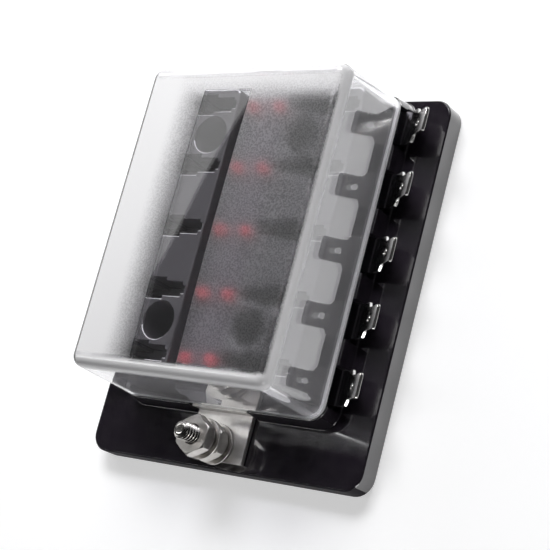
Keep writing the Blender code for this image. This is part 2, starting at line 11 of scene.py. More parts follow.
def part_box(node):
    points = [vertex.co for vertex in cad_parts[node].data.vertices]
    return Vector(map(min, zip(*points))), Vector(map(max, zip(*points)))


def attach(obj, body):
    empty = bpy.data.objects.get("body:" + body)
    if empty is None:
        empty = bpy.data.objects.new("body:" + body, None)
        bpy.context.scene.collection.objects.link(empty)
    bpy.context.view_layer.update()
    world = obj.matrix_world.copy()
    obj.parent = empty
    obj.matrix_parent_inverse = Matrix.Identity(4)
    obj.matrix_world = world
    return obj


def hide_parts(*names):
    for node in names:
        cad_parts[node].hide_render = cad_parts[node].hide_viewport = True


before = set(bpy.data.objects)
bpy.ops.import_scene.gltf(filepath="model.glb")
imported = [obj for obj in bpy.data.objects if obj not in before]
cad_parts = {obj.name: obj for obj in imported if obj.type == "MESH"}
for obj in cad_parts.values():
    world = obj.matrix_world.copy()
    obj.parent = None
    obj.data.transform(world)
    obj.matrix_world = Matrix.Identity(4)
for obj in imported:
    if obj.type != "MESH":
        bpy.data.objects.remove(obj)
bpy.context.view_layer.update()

# Camera, matched to the photograph: metres and unit directions in the frame of the part
CAMERA_PLACE = Vector((0.2555, -0.0939, 0.3104))
CAMERA_FORWARD = Vector((-0.621, 0.235, -0.748))
CAMERA_DOWN = Vector((0.053, -0.939, -0.339))
CAMERA_LENS = 101.0
SENSOR_WIDTH = 36.0

# Cover
WALL = 0.0020
COVER_CORNER = 0.0042
COVER_EDGE = 0.0028
COVER_DRAFT = 0.0013
COVER_CROWN = 0.0007
EDGE_STEPS = 10
CROWN_STEPS = 14
SUPPORT = 0.0004
RIM_HALF_Y = 0.0432
LIP_WIDTH = 0.0098
LIP_REACH = 0.0007
LIP_FROM_RIM = 0.0042
LIP_HEIGHT = 0.0048
LIP_UNDERCUT = 0.0005
LIP_FADE = 0.0001
LIP_LEVELS = (LIP_FROM_RIM, LIP_FROM_RIM + LIP_UNDERCUT, LIP_FROM_RIM + LIP_HEIGHT)

# Finish of the cover: places along x and y, then pairs of depths below the crown
WINDOW_X = (-0.0113, 0.0044)
WINDOW_Y = (-0.0325, 0.0415)
WINDOW_BORDER = 0.00008
FROST_LEFT = 0.0031
FROST_RIGHT = 0.0020
FROST_HALF_Y = 0.0388
# Where the fillets carry painted highlight: along y from the middle, and along x.
FRONT_FILLET = (-0.0395, -0.0385)
FAR_FILLET = (0.0385, 0.0395)
RIGHT_FILLET = (0.0290, 0.0300)
# Painted shade: dark lines along the left and far edges, their reach in from the rim's box.
LEFT_LINE = (0.0033, 0.0036)
FAR_LINE = (0.0035, 0.0032)
# Painted highlight on the frosted top: its reach at the left, far and front edges.
HIGHLIGHT_LEFT = (-0.0215, -0.0105)
HIGHLIGHT_FAR = (0.0375, 0.0440)
HIGHLIGHT_FRONT = (-0.0325, -0.0312)
FRONT_WALL = (-0.0345, -0.0330)
MIRRORING_WALLS = (-0.0300, -0.0280)
# Band above the rim that carries a painted highlight.
RIM_BAND = (0.0006, 0.0009)
GRAIN_SIZE = 0.00045
OUTER_SKIN = (0.00185, 0.00195)
WALL_TOP = (0.0035, 0.0045)
FILLET_FOOT = (0.0038, 0.0048)
# Depths of the painted shade lines at the left and far edges.
LEFT_LINE_TOP = (0.00074, 0.00086)
LEFT_LINE_FOOT = (0.0027, 0.0030)
FAR_LINE_TOP = (0.0020, 0.0024)
FAR_LINE_FOOT = (0.0033, 0.0036)

# Spade tabs: the solid's bend and stations along the tab, and those of the photograph
SOLID_BEND_X = 0.0340
SOLID_ANGLE = math.radians(30.0)
SOLID_STATIONS = (0.0, 0.0050, 0.0119, 0.0128)
BEND_X = 0.0367
TAB_ANGLE = math.radians(37.0)
TAB_STATIONS = (0.0, 0.0045, 0.0101, 0.0105)
SHOULDER_END = 0.0036
TAB_HOLE = (0.0082, 0.0059)
TAB_HALF_WIDTH = 0.00315
SHOULDER_HALF_WIDTH = 0.0046
TAB_RUN_Z = 0.0091
# Span and fade of the painted shade on the tabs' roots.
TAB_ROOT = (0.0300, 0.0302)
TAB_ROOT_FADE = 0.0003
BEND_REACH = 0.0004
HOLE_REACH = 0.0010

# Stud and fasteners
STUD_DIAMETER = 0.0048
THREAD_PITCH = 0.00106
THREAD_DEPTH = 0.00052
STUD_CHAMFER = 0.0008
STUD_HEAD_HEIGHT = 0.0022
STUD_HEAD_BREAK = 0.0002
STUD_STEPS_AROUND = 48
STUD_ROWS_PER_PITCH = 12
WASHER_HOLE = 0.0027
WASHER_GAP = math.radians(10.0)
WASHER_RISE = 0.16
WASHER_STEPS = 60
WASHER_BORE_BREAK = 0.00005
WASHER_RIM_BREAK = 0.00012
EDGE_BREAK = 0.00012
BASE_BREAK = 0.00025
BLOCK_BREAK = 0.0002
CARRIER_BREAK = 0.00008
TAB_BREAK = 0.00010
SHARP_ANGLE = math.radians(32.0)
COPLANAR_ANGLE = math.radians(1.0)
MERGE_DISTANCE = 0.000002

MAIN_BODY = "block"
COVER_BODY = "cover"


def corners(node):
    """Lowest and highest corner of a node as vectors."""
    low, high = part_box(node)
    return Vector(low), Vector(high)


# Node helpers for materials

class Shading:
    """Small builder of a node material around one Principled shader."""

    def __init__(self, name):
        self.material = bpy.data.materials.new(name)
        self.material.use_nodes = True
        self.tree = self.material.node_tree
        self.shader = self.tree.nodes["Principled BSDF"]
        self.coordinates = self.tree.nodes.new("ShaderNodeTexCoord").outputs["Object"]

    def node(self, kind, **settings):
        """New node with its settings."""
        made = self.tree.nodes.new(kind)
        for key, value in settings.items():
            setattr(made, key, value)
        return made

    def link(self, source, target):
        """Join an output to an input."""
        self.tree.links.new(source, target)

    def feed(self, target, value):
        """Link a socket or set a plain value on an input."""
        if isinstance(value, bpy.types.NodeSocket):
            self.link(value, target)
        else:
            target.default_value = value

    def math(self, operation, first, second=0.0, clamp=False):
        """One math node."""
        made = self.node("ShaderNodeMath", operation=operation, use_clamp=clamp)
        self.feed(made.inputs[0], first)
        self.feed(made.inputs[1], second)
        return made.outputs[0]

    def product(self, *factors):
        """Product of several values."""
        return functools.reduce(lambda a, b: self.math('MULTIPLY', a, b), factors)

    def greatest(self, *values):
        """Greatest of several values."""
        return functools.reduce(lambda a, b: self.math('MAXIMUM', a, b), values)

    def total(self, *values):
        """Sum of several values."""
        return functools.reduce(lambda a, b: self.math('ADD', a, b), values)

    def rest(self, value):
        """What a share lacks of one."""
        return self.math('SUBTRACT', 1.0, value, clamp=True)

    def axes(self):
        """The three object coordinates."""
        split = self.node("ShaderNodeSeparateXYZ")
        self.link(self.coordinates, split.inputs[0])
        return split.outputs

    def scaled(self, scale):
        """Object coordinates stretched by three factors."""
        made = self.node("ShaderNodeMapping")
        self.link(self.coordinates, made.inputs["Vector"])
        made.inputs["Scale"].default_value = scale
        return made.outputs[0]

    def noise(self, size, detail=3.0, stretch=(1, 1, 1), roughness=0.5):
        """Noise whose features are about size metres across, from 0 to 1."""
        made = self.node("ShaderNodeTexNoise")
        self.link(self.scaled(tuple(1.0 / (size * s) for s in stretch)), made.inputs["Vector"])
        made.inputs["Scale"].default_value = 1.0
        made.inputs["Detail"].default_value = detail
        made.inputs["Roughness"].default_value = roughness
        return made.outputs["Fac"]

    def ramp(self, value, low, high, to_low=0.0, to_high=1.0):
        """Clamped map of a value from one range to another."""
        made = self.node("ShaderNodeMapRange", clamp=True)
        self.feed(made.inputs["Value"], value)
        for name, number in (("From Min", low), ("From Max", high),
                             ("To Min", to_low), ("To Max", to_high)):
            made.inputs[name].default_value = number
        return made.outputs["Result"]

    def mix(self, factor, first, second):
        """Mix of two colours or colour sockets."""
        made = self.node("ShaderNodeMix", data_type='RGBA')
        self.feed(made.inputs[0], factor)
        for socket, value in ((made.inputs[6], first), (made.inputs[7], second)):
            self.feed(socket, value if isinstance(value, bpy.types.NodeSocket) else (*value, 1.0))
        return made.outputs[2]

    def bump(self, height, distance, strength=1.0, after=None):
        """Bump in metres of height, on top of another bump if there is one."""
        made = self.node("ShaderNodeBump")
        made.inputs["Strength"].default_value = strength
        made.inputs["Distance"].default_value = distance
        self.link(height, made.inputs["Height"])
        if after is not None:
            self.link(after, made.inputs["Normal"])
        return made.outputs["Normal"]

    def set(self, **values):
        """Set or link inputs of the Principled shader by name, with _ for spaces."""
        for key, value in values.items():
            self.feed(self.shader.inputs[key.replace("_", " ")], value)


def rgba(colour):
    """Colour with full alpha."""
    return (*colour, 1.0)


def gloss_black():
    """Polished black moulding with a violet tinge and faint flow marks."""
    made = Shading("gloss black plastic")
    flow = made.noise(0.012, 2.0, (1.0, 3.0, 1.0))
    fine = made.noise(0.0005, 3.0)
    made.set(
        Base_Color=made.mix(flow, (0.014, 0.011, 0.016), (0.021, 0.017, 0.024)),
        Roughness=made.ramp(made.noise(0.003, 4.0), 0.3, 0.7, 0.12, 0.22),
        Normal=made.bump(fine, 0.000006, 0.6, made.bump(flow, 0.00006)))
    made.shader.inputs["IOR"].default_value = 1.55
    made.shader.inputs["Coat Weight"].default_value = 1.0
    made.shader.inputs["Coat Roughness"].default_value = 0.08
    made.shader.inputs["Coat IOR"].default_value = 1.8
    return made.material


def dull_side():
    """Front face of the plate, duller than the rest."""
    made = Shading("dull black side")
    grain = made.noise(0.0006, 3.0)
    made.set(Base_Color=made.mix(grain, (0.014, 0.012, 0.016), (0.024, 0.021, 0.027)),
             Roughness=made.ramp(grain, 0.3, 0.7, 0.55, 0.65))
    made.shader.inputs["Specular IOR Level"].default_value = 0.12
    return made.material


def matte_black():
    """Spark-eroded matte black moulding of the fuse carriers."""
    made = Shading("matte black plastic")
    grain = made.noise(0.00035, 4.0, roughness=0.65)
    patch = made.noise(0.006, 2.0)
    made.set(
        Base_Color=made.mix(made.ramp(grain, 0.35, 0.65), (0.024, 0.022, 0.026),
                            (0.044, 0.041, 0.047)),
        Roughness=made.ramp(patch, 0.3, 0.7, 0.44, 0.56),
        Normal=made.bump(grain, 0.00003, 0.6))
    made.shader.inputs["IOR"].default_value = 1.52
    return made.material


def painted_highlight_edge():
    """Painted highlight: pale colour on the black mouldings' upper edges that face the main light.
    """
    made = Shading("painted highlight on black edge")
    patch = made.noise(0.0012, 3.0)
    made.set(Base_Color=made.mix(made.ramp(patch, 0.3, 0.7), (0.60, 0.59, 0.61),
                                 (0.85, 0.84, 0.86)),
             Roughness=made.ramp(patch, 0.3, 0.7, 0.30, 0.45))
    return made.material


def plated_sheet(name, dark, bright, roughness, painted_shade_root=False):
    """Plated brass sheet with rolling streaks and small stains, and its root coloured dark as
    painted shade if asked.
    """
    made = Shading(name)
    streak = made.noise(0.0004, 3.0, (12.0, 1.0, 1.0))
    stain = made.noise(0.0022, 3.0)
    colour = made.mix(made.ramp(stain, 0.3, 0.7), dark, bright)
    if painted_shade_root:
        # Painted shade: the tab's root, from the pedestal to the bend, is coloured dark.
        out = made.math('ABSOLUTE', made.axes()[0])
        root = made.product(made.ramp(out, BEND_X, BEND_X + TAB_ROOT_FADE, 1.0, 0.0),
                            made.ramp(out, *TAB_ROOT))
        colour = made.mix(root, colour, (0.045, 0.043, 0.048))
    made.set(
        Base_Color=colour,
        Roughness=made.ramp(streak, 0.3, 0.7, roughness - 0.04, roughness + 0.06),
        Normal=made.bump(streak, 0.0000004, 0.5))
    made.shader.inputs["Metallic"].default_value = 1.0
    return made.material


def turned_metal(name, dark, bright, roughness):
    """Turned bright metal with fine rings about the stud's axis."""
    made = Shading(name)
    rings = made.noise(0.0005, 2.0, (4.0, 4.0, 1.0))
    stain = made.noise(0.0025, 3.0)
    made.set(
        Base_Color=made.mix(made.ramp(stain, 0.3, 0.7), dark, bright),
        Roughness=made.ramp(rings, 0.3, 0.7, roughness - 0.02, roughness + 0.03))
    made.shader.inputs["Metallic"].default_value = 1.0
    return made.material


def red_lens():
    """Red lamp lens with a faint glow."""
    made = Shading("red lamp lens")
    swirl = made.noise(0.0008, 2.0)
    made.set(Base_Color=made.mix(swirl, (0.50, 0.03, 0.05), (0.36, 0.02, 0.04)),
             Roughness=made.ramp(swirl, 0.3, 0.7, 0.12, 0.22))
    made.shader.inputs["Emission Color"].default_value = rgba((1.0, 0.10, 0.14))
    made.shader.inputs["Emission Strength"].default_value = 0.22
    return made.material


def board_laminate():
    """Dark solder mask over glass cloth."""
    made = Shading("board laminate")
    cloth = made.node("ShaderNodeTexBrick")
    made.link(made.scaled((1500.0, 1500.0, 1500.0)), cloth.inputs["Vector"])
    made.set(Base_Color=made.mix(made.ramp(cloth.outputs["Fac"], 0.0, 1.0), (0.062, 0.052, 0.066),
                                 (0.080, 0.070, 0.084)),
             Roughness=made.ramp(made.noise(0.001), 0.3, 0.7, 0.3, 0.45))
    return made.material


def chip_body():
    """Small black chip with a speckled tone."""
    made = Shading("chip resistor")
    speck = made.noise(0.0002, 2.0)
    made.set(Base_Color=made.mix(speck, (0.030, 0.030, 0.032), (0.060, 0.060, 0.060)),
             Roughness=made.ramp(speck, 0.3, 0.7, 0.4, 0.6))
    return made.material


def between(made, value, low, high, soft):
    """Mask that is 1 between two limits with soft borders."""
    return made.product(made.ramp(value, low - soft, low + soft),
                        made.ramp(value, high - soft, high + soft, 1.0, 0.0))


def clear_cover(low, high):
    """Clear walls, grained frosted top and one polished stripe."""
    made = Shading("clear polycarbonate")
    x, y, z = made.axes()
    middle_y = (low.y + high.y) / 2

    def depth(pair, below, above):
        """Ramp over the height between two depths under the crown."""
        return made.ramp(z, high.z - pair[1], high.z - pair[0], below, above)

    def from_middle(pair, before, after):
        """Ramp over y between two distances from the middle."""
        return made.ramp(y, middle_y + pair[0], middle_y + pair[1], before, after)

    # Frosted field and polished stripe
    field = made.product(
        between(made, x, low.x + FROST_LEFT, high.x - FROST_RIGHT, 0.0004),
        between(made, y, middle_y - FROST_HALF_Y, middle_y + FROST_HALF_Y, 0.0006))
    window = made.product(between(made, x, *WINDOW_X, WINDOW_BORDER),
                          between(made, y, *WINDOW_Y, WINDOW_BORDER))
    ground = made.product(field, depth(OUTER_SKIN, 0.0, 1.0), made.rest(window))

    # Grain, and a painted highlight: the haze made milkier towards the left, far and front edges
    speck = made.ramp(made.noise(GRAIN_SIZE, 2.0), 0.40, 0.60)
    painted_highlight = made.greatest(made.ramp(x, *HIGHLIGHT_LEFT, 1.0, 0.0), made.ramp(y, *HIGHLIGHT_FAR, 0.0, 0.8),
                         made.ramp(y, *HIGHLIGHT_FRONT, 0.4, 0.0))
    fine = made.product(made.ramp(y, -0.030, 0.040, 0.02, 0.06),
                        made.ramp(speck, 0.0, 1.0, 0.3, 1.8))
    highlight_cloud = made.product(painted_highlight, made.ramp(made.total(speck, made.product(painted_highlight, 3.0)), 0.4, 1.6))
    haze = made.product(ground, made.total(fine, highlight_cloud))
    grit = made.product(ground, made.ramp(speck, 0.0, 1.0, 0.52, 0.0), made.rest(painted_highlight))

    # Painted highlights as milkiness on the near fillets and a band at the rim, a faint haze on
    # the walls, and painted shade as a dark line at the left and far edges
    # Painted highlight: the right, front and far fillets made milky so they light up.
    near_side = made.greatest(made.ramp(x, *RIGHT_FILLET), from_middle(FRONT_FILLET, 1.0, 0.0),
                              from_middle(FAR_FILLET, 0.0, 0.5))
    fillet_light = made.product(made.rest(field), near_side, depth(FILLET_FOOT, 0.0, 0.97))
    side_wall = depth(WALL_TOP, 1.0, 0.0)
    wall = made.product(side_wall, made.total(
        made.ramp(made.noise(0.004, 2.0), 0.2, 0.8, 0.09, 0.13),
        made.ramp(y, *FRONT_WALL, 0.06, 0.0)))
    # Painted highlight: a milky band along the rim's foot.
    rim = made.ramp(z, low.z + RIM_BAND[0], low.z + RIM_BAND[1], 0.8, 0.0)
    # Painted shade: dark lines along the left and far edges of the top.
    left_line = made.product(made.ramp(x, low.x + LEFT_LINE[0], low.x + LEFT_LINE[1], 0.9, 0.0),
                             depth(LEFT_LINE_TOP, 1.0, 0.0), depth(LEFT_LINE_FOOT, 0.0, 1.0))
    far_line = made.product(made.ramp(y, high.y - FAR_LINE[0], high.y - FAR_LINE[1], 0.0, 0.9),
                            depth(FAR_LINE_TOP, 1.0, 0.0), depth(FAR_LINE_FOOT, 0.0, 1.0))
    outline = made.greatest(left_line, far_line)
    milk_and_painted_light = made.greatest(made.total(haze, wall, rim, fillet_light), outline)

    # Base colour: white where milky, dark at the grit specks and the painted shade lines.
    made.set(
        Base_Color=made.mix(made.greatest(outline, grit), (0.985, 0.98, 0.995),
                            (0.02, 0.018, 0.02)),
        Roughness=made.ramp(ground, 0.0, 1.0, 0.015, 0.30),
        Transmission_Weight=made.math('SUBTRACT', 0.99, milk_and_painted_light, clamp=True),
        Coat_Weight=made.product(side_wall, made.ramp(x, *MIRRORING_WALLS)),
        Normal=made.bump(window, 0.00012))
    made.shader.inputs["IOR"].default_value = 1.585
    made.shader.inputs["Coat Roughness"].default_value = 0.03
    made.shader.inputs["Coat IOR"].default_value = 1.9
    let_light_in(made)
    return made.material


def let_light_in(made):
    """Let most of the light through to what the cover shuts in."""
    path = made.node("ShaderNodeLightPath")
    through = made.node("ShaderNodeBsdfTransparent")
    through.inputs["Color"].default_value = (0.80, 0.80, 0.82, 1.0)
    blend = made.node("ShaderNodeMixShader")
    made.link(path.outputs["Is Shadow Ray"], blend.inputs[0])
    made.link(made.shader.outputs[0], blend.inputs[1])
    made.link(through.outputs[0], blend.inputs[2])
    made.link(blend.outputs[0], made.tree.nodes["Material Output"].inputs["Surface"])


# Shapes

def paint(obj, material):
    """Give every slot of an object one material."""
    if not obj.material_slots:
        obj.data.materials.append(material)
    for slot in obj.material_slots:
        slot.material = material


def smooth(mesh, angle=30.0):
    """Smooth a mesh but for edges sharper than the angle."""
    mesh.shade_smooth()
    mesh.set_sharp_from_angle(angle=math.radians(angle))


def evaluated_mesh(obj):
    """Mesh of an object with its modifiers applied."""
    graph = bpy.context.evaluated_depsgraph_get()
    return bpy.data.meshes.new_from_object(obj.evaluated_get(graph), preserve_all_data_layers=True,
                                           depsgraph=graph)


def flat_shaded_flats(mesh):
    """Same mesh with normals that keep its large faces flat."""
    holder = bpy.data.objects.new("weighted", mesh)
    bpy.context.scene.collection.objects.link(holder)
    weight = holder.modifiers.new("weight", 'WEIGHTED_NORMAL')
    weight.weight = 100
    weight.keep_sharp = True
    weighted = evaluated_mesh(holder)
    bpy.data.objects.remove(holder, do_unlink=True)
    return weighted


def as_mesh(bm, name):
    """Mesh from a finished bmesh."""
    mesh = bpy.data.meshes.new(name)
    bm.to_mesh(mesh)
    bm.free()
    return mesh


def bridge(bm, before, after):
    """Faces between two closed rings of as many vertices."""
    count = len(before)
    for i in range(count):
        j = (i + 1) % count
        bm.faces.new([before[i], before[j], after[j], after[i]])


def new_piece(name, mesh, material, body, nodes=()):
    """Place a finished mesh as a piece that rides on a body and stands for its nodes."""
    piece = bpy.data.objects.new(name, mesh)
    bpy.context.scene.collection.objects.link(piece)
    paint(piece, material)
    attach(piece, body)
    if nodes:
        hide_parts(*nodes)
    return piece


def bend_tab(bm):
    """Bend a spade tab as far out and as steeply as the photograph shows it.

    The solid's tab is unrolled into a distance along the tab and a height off its lower face, the
    distances are moved to the photograph's, and the tab is rolled up again at the later bend.
    """
    spread = [vert.co.y for vert in bm.verts]
    middle_y = (min(spread) + max(spread)) / 2
    for vert in bm.verts:
        side = math.copysign(1.0, vert.co.x)
        across = vert.co.y - middle_y
        out = abs(vert.co.x) - SOLID_BEND_X
        up = vert.co.z - TAB_RUN_Z
        shoulder = abs(across) > TAB_HALF_WIDTH + EDGE_BREAK
        if shoulder:
            vert.co.y = middle_y + math.copysign(SHOULDER_HALF_WIDTH, across)
        if out < -BEND_REACH:
            continue
        if out + up * math.tan(SOLID_ANGLE / 2) < 0.00005:
            vert.co.x = side * (BEND_X - up * math.tan(TAB_ANGLE / 2))
            continue
        along = out * math.cos(SOLID_ANGLE) + up * math.sin(SOLID_ANGLE)
        off = up * math.cos(SOLID_ANGLE) - out * math.sin(SOLID_ANGLE)
        if abs(across) < HOLE_REACH and abs(along - TAB_HOLE[0]) < HOLE_REACH:
            along += TAB_HOLE[1] - TAB_HOLE[0]
        elif shoulder:
            along = SHOULDER_END
        else:
            along = float(numpy.interp(along, SOLID_STATIONS, TAB_STATIONS))
        vert.co.x = side * (BEND_X + along * math.cos(TAB_ANGLE) - off * math.sin(TAB_ANGLE))
        vert.co.z = TAB_RUN_Z + along * math.sin(TAB_ANGLE) + off * math.cos(TAB_ANGLE)


def refined(node, material, body, width=EDGE_BREAK, segments=2, second=None, takes=None,
            reshape=None):
    """Stand-in for a node with its outline kept and its sharp edges broken.

    takes(middle, normal) says which faces have the second material, and reshape(bm) moves
    vertices before the edges are broken.
    """
    bm = bmesh.new()
    bm.from_mesh(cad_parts[node].data)
    if reshape:
        reshape(bm)
    bmesh.ops.remove_doubles(bm, verts=bm.verts, dist=MERGE_DISTANCE)
    bmesh.ops.dissolve_limit(bm, angle_limit=COPLANAR_ANGLE, verts=bm.verts, edges=bm.edges)
    for face in bm.faces:
        face.material_index = 0
    sharp = [e for e in bm.edges if e.is_manifold and e.calc_face_angle() > SHARP_ANGLE]
    bmesh.ops.bevel(bm, geom=sharp, offset=width, segments=segments, profile=0.5,
                    affect='EDGES', clamp_overlap=False, harden_normals=False)
    if second:
        for face in bm.faces:
            face.material_index = int(takes(face.calc_center_median(), face.normal))
    mesh = as_mesh(bm, f"{node}_refined")
    smooth(mesh, 40.0)
    mesh = flat_shaded_flats(mesh)
    piece = new_piece(f"{node}_finished", mesh, material, body, [node])
    if second:
        mesh.materials.append(second)
    return piece


def rounded_ring(half_x, half_y, radius, middle_y, z, steps=8, sides=16):
    """Points of a rounded rectangle at one height, anticlockwise."""
    points = []
    turns = [(1, 1, 0.0), (-1, 1, 90.0), (-1, -1, 180.0), (1, -1, 270.0)]
    for sign_x, sign_y, start in turns:
        centre = (sign_x * (half_x - radius), sign_y * (half_y - radius))
        for step in range(steps + 1):
            turn = math.radians(start + 90.0 * step / steps)
            points.append((centre[0] + radius * math.cos(turn),
                           middle_y + centre[1] + radius * math.sin(turn), z))
    ring = []
    for at, point in enumerate(points):
        ring.append(point)
        if at % (steps + 1) == steps:
            after = points[(at + 1) % len(points)]
            ring += [tuple(a + (b - a) * part / sides for a, b in zip(point, after))
                     for part in range(1, sides)]
    return ring


def shell_profile(height, wall, edge):
    """(inset, height) of one skin of the cover from its rim to the start of the top."""
    draft = COVER_DRAFT / height
    wall_top = height - edge
    profile = [(draft * level, level)
               for level in (0.0, wall_top / 3, wall_top * 2 / 3, wall_top - SUPPORT, wall_top)]
    base_inset = profile[-1][0]
    for step in range(1, EDGE_STEPS + 1):
        turn = math.pi / 2 * step / EDGE_STEPS
        profile.append((base_inset + edge * (1 - math.cos(turn)),
                        height - edge + edge * math.sin(turn)))
    return [(inset + wall, level - wall * (level > 0)) for inset, level in profile]


def cover_mesh(low, high):
    """Drafted shell with round edges, a shallow crown and a hollow inside."""
    middle_y = (low.y + high.y) / 2
    half_x = (high.x - low.x) / 2
    half_y = RIM_HALF_Y
    height = high.z - COVER_CROWN - low.z
    bm = bmesh.new()

    def skin(wall, edge, corner):
        """Rings of one skin from the rim to the middle of the top."""
        rings = []
        profile = shell_profile(height, wall, edge)
        for inset, level in profile:
            radius = max(corner - inset, 0.0006 + edge * 0.2)
            rings.append(rounded_ring(half_x - inset, half_y - inset, radius, middle_y,
                                      low.z + level))
        last = rings[-1]
        reach_x = max(px for px, py, pz in last)
        reach_y = max(py for px, py, pz in last) - middle_y
        for step in range(CROWN_STEPS + 1):
            share = 0.99 - 0.93 * step / CROWN_STEPS
            ring = []
            for px, py, pz in last:
                near_x, near_y = px * share, (py - middle_y) * share
                fall_x, fall_y = (near_x / reach_x) ** 2, (near_y / reach_y) ** 2
                ring.append((near_x, middle_y + near_y,
                             pz + COVER_CROWN * (1.0 - fall_x) * (1.0 - fall_y)))
            rings.append(ring)
        return [[bm.verts.new(point) for point in ring] for ring in rings]

    outer = skin(0.0, COVER_EDGE, COVER_CORNER)
    inner = skin(WALL, max(COVER_EDGE - WALL, 0.0006), COVER_CORNER)
    for rings, flip in ((outer, False), (inner, True)):
        for below, above in zip(rings, rings[1:]):
            count = len(below)
            for i in range(count):
                j = (i + 1) % count
                face = [below[i], below[j], above[j], above[i]]
                bm.faces.new(reversed(face) if flip else face)
        bm.faces.new(reversed(rings[-1]) if flip else rings[-1])
    count = len(outer[0])
    for i in range(count):
        j = (i + 1) % count
        bm.faces.new([outer[0][j], outer[0][i], inner[0][i], inner[0][j]])
    bmesh.ops.recalc_face_normals(bm, faces=bm.faces)
    if bm.calc_volume(signed=True) < 0:
        bmesh.ops.reverse_faces(bm, faces=bm.faces)
    mesh = joined(as_mesh(bm, "cover_shell"), lip_mesh(low.z, middle_y, height))
    smooth(mesh, 50.0)
    return mesh


def lip_mesh(rim_z, middle_y, height):
    """Thumb lip of each short wall: undercut below, fading into the wall above."""
    bm = bmesh.new()
    for side in (-1, 1):
        section = []
        bottom, edge, top = LIP_LEVELS
        for level, out in ((bottom, -WALL / 2), (edge, LIP_REACH), (top, -LIP_FADE),
                           (top, -WALL / 2)):
            wall_y = RIM_HALF_Y - COVER_DRAFT * level / height + out
            section.append((middle_y + side * wall_y, rim_z + level))
        ends = [[bm.verts.new((x, py, pz)) for py, pz in section]
                for x in (-LIP_WIDTH / 2, LIP_WIDTH / 2)]
        bm.faces.new(ends[0])
        bm.faces.new(reversed(ends[1]))
        bridge(bm, *ends)
    bmesh.ops.recalc_face_normals(bm, faces=bm.faces)
    return as_mesh(bm, "cover_lips")


def joined(first, second):
    """One closed mesh from two that overlap."""
    whole, part = [bpy.data.objects.new("joined", mesh) for mesh in (first, second)]
    for obj in (whole, part):
        bpy.context.scene.collection.objects.link(obj)
    step = whole.modifiers.new("join", 'BOOLEAN')
    step.operation = 'UNION'
    step.solver = 'EXACT'
    step.object = part
    mesh = evaluated_mesh(whole)
    for obj in (whole, part):
        bpy.data.objects.remove(obj, do_unlink=True)
    return mesh


def split_ring(low, high, hole, gap_at):
    """Split spring washer: a square section swept round but for a narrow slanted gap."""
    centre = (low + high) / 2
    outer = (high.x - low.x) / 2
    rise = (high.z - low.z) * WASHER_RISE
    bottom, top = low.z + rise / 2, high.z - rise / 2
    section = ((hole, bottom + WASHER_BORE_BREAK), (hole + WASHER_BORE_BREAK, bottom),
               (outer - WASHER_RIM_BREAK, bottom), (outer, bottom + WASHER_RIM_BREAK),
               (outer, top - WASHER_RIM_BREAK), (outer - WASHER_RIM_BREAK, top),
               (hole + WASHER_BORE_BREAK, top), (hole, top - WASHER_BORE_BREAK))
    bm = bmesh.new()
    rings = []
    for step in range(WASHER_STEPS + 1):
        share = step / WASHER_STEPS
        turn = gap_at + WASHER_GAP / 2 + share * (2 * math.pi - WASHER_GAP)
        rings.append([bm.verts.new((centre.x + r * math.cos(turn), centre.y + r * math.sin(turn),
                                    z + (share - 0.5) * rise)) for r, z in section])
    for before, after in zip(rings, rings[1:]):
        bridge(bm, before, after)
    bm.faces.new(rings[0])
    bm.faces.new(reversed(rings[-1]))
    bmesh.ops.recalc_face_normals(bm, faces=bm.faces)
    mesh = as_mesh(bm, "split_washer")
    smooth(mesh, 35.0)
    return mesh


def thread_radius(turn, z, bottom, top):
    """Radius of the threaded stud at an angle and height."""
    phase = (z / THREAD_PITCH - turn / (2 * math.pi)) % 1.0
    ridge = 1.0 - abs(2.0 * phase - 1.0)
    ridge = min(1.0, max(0.0, (ridge - 0.12) / 0.72))
    radius = STUD_DIAMETER / 2 - THREAD_DEPTH * (1.0 - ridge)
    to_end = min(z - bottom, top - z)
    return min(radius, STUD_DIAMETER / 2 - STUD_CHAMFER + max(to_end, 0.0) * 1.1)


def stud_mesh(low, high):
    """Threaded stud with a chamfered tip and its head in the base."""
    centre = (low + high) / 2
    turns = [2 * math.pi * step / STUD_STEPS_AROUND for step in range(STUD_STEPS_AROUND)]
    head_top = low.z + STUD_HEAD_HEIGHT
    head_radius = (high.x - low.x) / 2
    inner_radius = head_radius - STUD_HEAD_BREAK
    rings = [([radius] * len(turns), z) for radius, z in (
        (0.0004, low.z), (inner_radius, low.z), (head_radius, low.z + STUD_HEAD_BREAK),
        (head_radius, head_top - STUD_HEAD_BREAK), (inner_radius, head_top),
        (STUD_DIAMETER / 2 - THREAD_DEPTH, head_top))]
    rows = int((high.z - head_top) / THREAD_PITCH * STUD_ROWS_PER_PITCH)
    for row in range(1, rows + 1):
        z = head_top + (high.z - head_top) * row / rows
        rings.append(([thread_radius(turn, z, head_top - 0.001, high.z) for turn in turns], z))
    rings.append(([0.0008] * len(turns), high.z))
    bm = bmesh.new()
    made = [[bm.verts.new((centre.x + r * math.cos(turn), centre.y + r * math.sin(turn), z))
             for turn, r in zip(turns, radii)] for radii, z in rings]
    for below, above in zip(made, made[1:]):
        bridge(bm, below, above)
    bm.faces.new(reversed(made[0]))
    bm.faces.new(made[-1])
    bmesh.ops.recalc_face_normals(bm, faces=bm.faces)
    mesh = as_mesh(bm, "threaded_stud")
    smooth(mesh, 50.0)
    return mesh


# Finishes and pieces

base_finish = gloss_black()
carrier_finish = matte_black()
painted_edge_highlight = painted_highlight_edge()
# The tin tabs carry painted shade on their roots.
tin = plated_sheet("tin plated brass", (0.70, 0.69, 0.68), (0.84, 0.83, 0.82), 0.13, True)
nickel_sheet = plated_sheet("nickel plated bus", (0.76, 0.74, 0.71), (0.88, 0.86, 0.84), 0.42)
nickel = turned_metal("bright nickel", (0.58, 0.56, 0.53), (0.78, 0.76, 0.73), 0.34)
bright_nickel = turned_metal("turned nickel stud", (0.62, 0.60, 0.57), (0.84, 0.82, 0.79), 0.20)
lamp = red_lens()
chip = chip_body()

